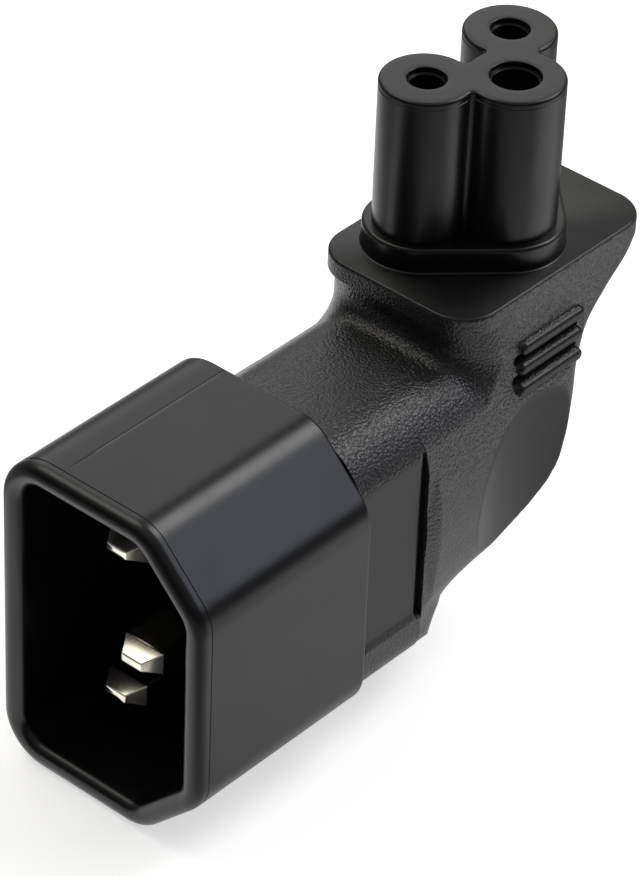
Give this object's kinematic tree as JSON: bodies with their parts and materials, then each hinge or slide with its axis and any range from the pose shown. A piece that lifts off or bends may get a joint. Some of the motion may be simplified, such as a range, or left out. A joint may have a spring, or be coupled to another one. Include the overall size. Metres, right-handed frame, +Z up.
{
  "type": "right-angle power adapter",
  "caption": "Black right-angle mains adapter: a hooded bladed plug at one end, a grained moulded elbow, and a lobed socket nose that stands up from a flange at the other end.",
  "frame": {"origin": "on the standing surface, under the middle of the adapter's bounding box", "axes": "+Z up and out of the socket nose, -Y out of the plug's mouth, +X to the plug's bevelled earth side"},
  "size_m": [0.0206, 0.0554, 0.0472],
  "materials": {
    "overmould": "black, fine leather grain on the neck and elbow, smooth scoops and panel",
    "shroud": "smooth satin black",
    "nose": "smooth satin black",
    "blade": "nickel-plated brass, satin",
    "contact": "plain rolled brass",
    "conductor": "copper coloured",
    "insulation_brown": "brown",
    "insulation_blue": "blue",
    "insulation_green": "green"
  },
  "bodies": {
    "root": {"body_overmould": "overmould", "plug_shroud": "shroud", "socket_nose": "nose", "blade_line": "blade", "blade_neutral": "blade", "blade_earth": "blade", "contact_line": "contact", "contact_neutral": "contact", "contact_earth": "contact", "conductor_line": "conductor", "conductor_neutral": "conductor", "conductor_earth": "conductor", "insulation_line": "insulation_brown", "insulation_neutral": "insulation_blue", "insulation_earth": "insulation_green"}
  },
  "joints": []
}
